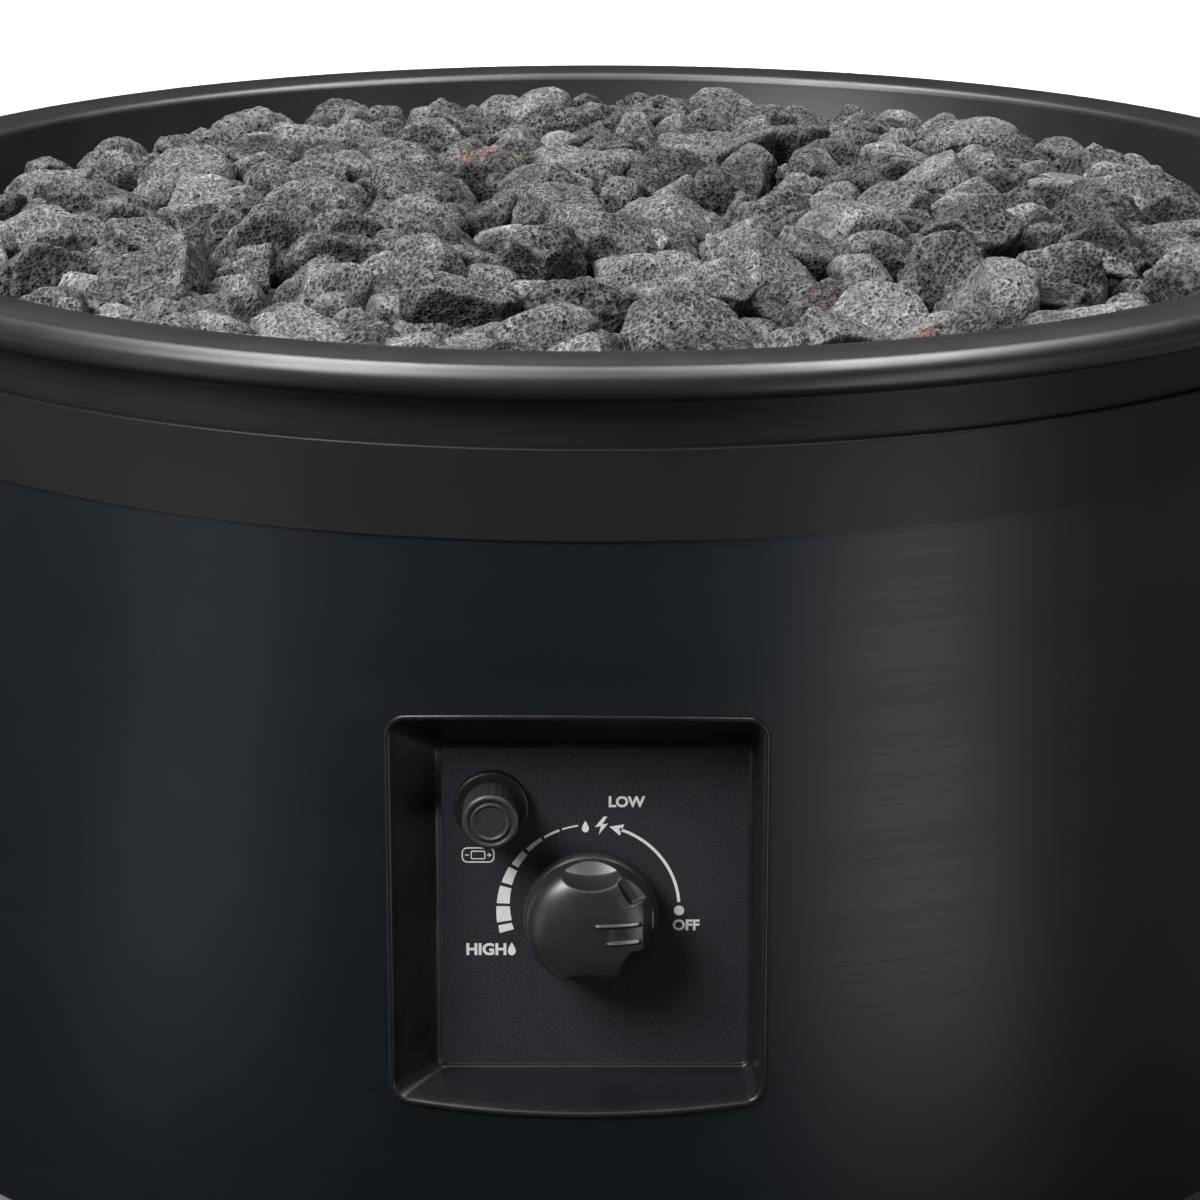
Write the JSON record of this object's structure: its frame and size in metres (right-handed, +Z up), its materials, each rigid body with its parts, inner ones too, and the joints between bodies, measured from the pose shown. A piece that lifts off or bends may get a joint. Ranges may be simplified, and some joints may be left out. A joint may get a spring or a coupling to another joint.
{
  "type": "gas fire pit",
  "caption": "Round low steel gas fire pit with lava rock, a ring burner and a recessed front panel with a push-and-turn knob and a battery igniter.",
  "frame": {"origin": "centre of the floor circle under the feet", "axes": "+Z up, -Y out of the front with the control recess, +X to the right seen from the front"},
  "size_m": [0.7112, 0.7112, 0.4],
  "materials": {
    "black_steel": "satin black heat-resistant powder coat",
    "black_plate": "fine matt black coat, printed dial",
    "zinc_sheet": "plain zinc-plated sheet",
    "stainless": "satin stainless",
    "zinc_fastener": "bright zinc plated",
    "spring_steel": "bright spring wire",
    "brass": "turned brass",
    "die_cast": "as-cast",
    "copper": "drawn copper tube",
    "black_plastic": "moulded, fine satin grain",
    "knob_plastic": "moulded, soft gloss",
    "grey_plastic": "moulded",
    "rubber": "matt",
    "hose_rubber": "smooth gas hose",
    "lead_plastic": "insulated lead",
    "ceramic": "fired, unglazed",
    "lava": "porous, matt",
    "cell": "plain printed sleeve"
  },
  "bodies": {
    "drum": {"drum_wall": "black_steel", "collar_ring": "black_steel", "fire_bowl": "black_steel", "base_plate": "zinc_sheet", "rubber_feet": "rubber", "foot_screws": "zinc_fastener", "foot_nuts": "zinc_fastener", "bowl_brackets": "zinc_sheet", "bowl_screws": "zinc_fastener", "bowl_nuts": "zinc_fastener", "burner_ring": "stainless", "burner_standoffs": "stainless", "standoff_screws": "zinc_fastener", "burner_locknut": "brass", "air_mixer": "stainless", "orifice_jet": "brass", "heat_shield": "zinc_sheet", "shield_spacers": "zinc_sheet", "shield_screws": "zinc_fastener", "shield_nuts": "zinc_fastener", "lava_bed": "lava", "lava_rocks": "lava", "control_bezel": "black_plastic", "control_plate": "black_plate", "clamp_bars": "zinc_sheet", "plate_nuts": "zinc_fastener", "stem_spring": "spring_steel", "gas_valve_body": "die_cast", "valve_screws": "zinc_fastener", "microswitch": "grey_plastic", "switch_screws": "zinc_fastener", "safety_magnet": "brass", "igniter_barrel": "black_plastic", "igniter_locknut": "black_plastic", "igniter_module": "grey_plastic", "pilot_bracket": "zinc_sheet", "pilot_screws": "zinc_fastener", "electrode_insulator": "ceramic", "electrode_pin": "stainless", "thermocouple_probe": "stainless", "pilot_hood": "stainless", "inlet_fitting": "brass", "inlet_locknut": "brass", "inlet_bracket": "zinc_sheet", "supply_pipe": "copper", "pipe_clips": "grey_plastic", "hose_nuts": "brass", "burner_hose": "hose_rubber", "ignition_lead": "lead_plastic", "thermocouple_lead": "copper", "switch_lead": "lead_plastic"},
    "push_collar": {"thrust_collar": "brass"},
    "knob_shaft": {"knob": "knob_plastic", "valve_stem": "stainless", "stem_clip": "spring_steel"},
    "plug": {"valve_plug": "brass"},
    "plunger": {"switch_plunger": "grey_plastic"},
    "battery": {"aa_battery": "cell"},
    "contact": {"battery_contact": "spring_steel"},
    "cap": {"battery_cap": "black_plastic"}
  },
  "joints": [
    {"name": "knob_push", "type": "slide", "parent": "drum", "child": "push_collar", "axis": [0, 1, 0], "range_m": [0, 0.0035], "stiffness_N_per_m": 2500, "springref_m": -0.002, "deforming": ["stem_spring"]},
    {"name": "knob_turn", "type": "hinge", "parent": "push_collar", "child": "knob_shaft", "pos_m": [-0.0023, -0.3245, 0.176], "axis": [0, -1, 0], "range_deg": [0, 190]},
    {"name": "plug_turn", "type": "hinge", "parent": "drum", "child": "plug", "pos_m": [-0.0023, -0.2937, 0.176], "axis": [0, -1, 0], "range_deg": [0, 190]},
    {"name": "plunger_slide", "type": "slide", "parent": "drum", "child": "plunger", "axis": [0, 1, 0], "range_m": [0, 0.0035]},
    {"name": "battery_slide", "type": "slide", "parent": "drum", "child": "battery", "axis": [0, -1, 0], "range_m": [0, 0.06]},
    {"name": "cap_lift", "type": "slide", "parent": "battery", "child": "contact", "axis": [0, -1, 0], "range_m": [0, 0.01]},
    {"name": "cap_turn", "type": "hinge", "parent": "contact", "child": "cap", "pos_m": [-0.0405, -0.3243, 0.219], "axis": [0, -1, 0], "range_deg": [0, 1800]}
  ],
  "couplings": [
    {"joint": "plug_turn", "follows": "knob_turn", "ratio": 1},
    {"joint": "plunger_slide", "follows": "knob_push", "ratio": 1},
    {"joint": "cap_turn", "follows": "cap_lift", "rad_per_m": 3141.5}
  ]
}
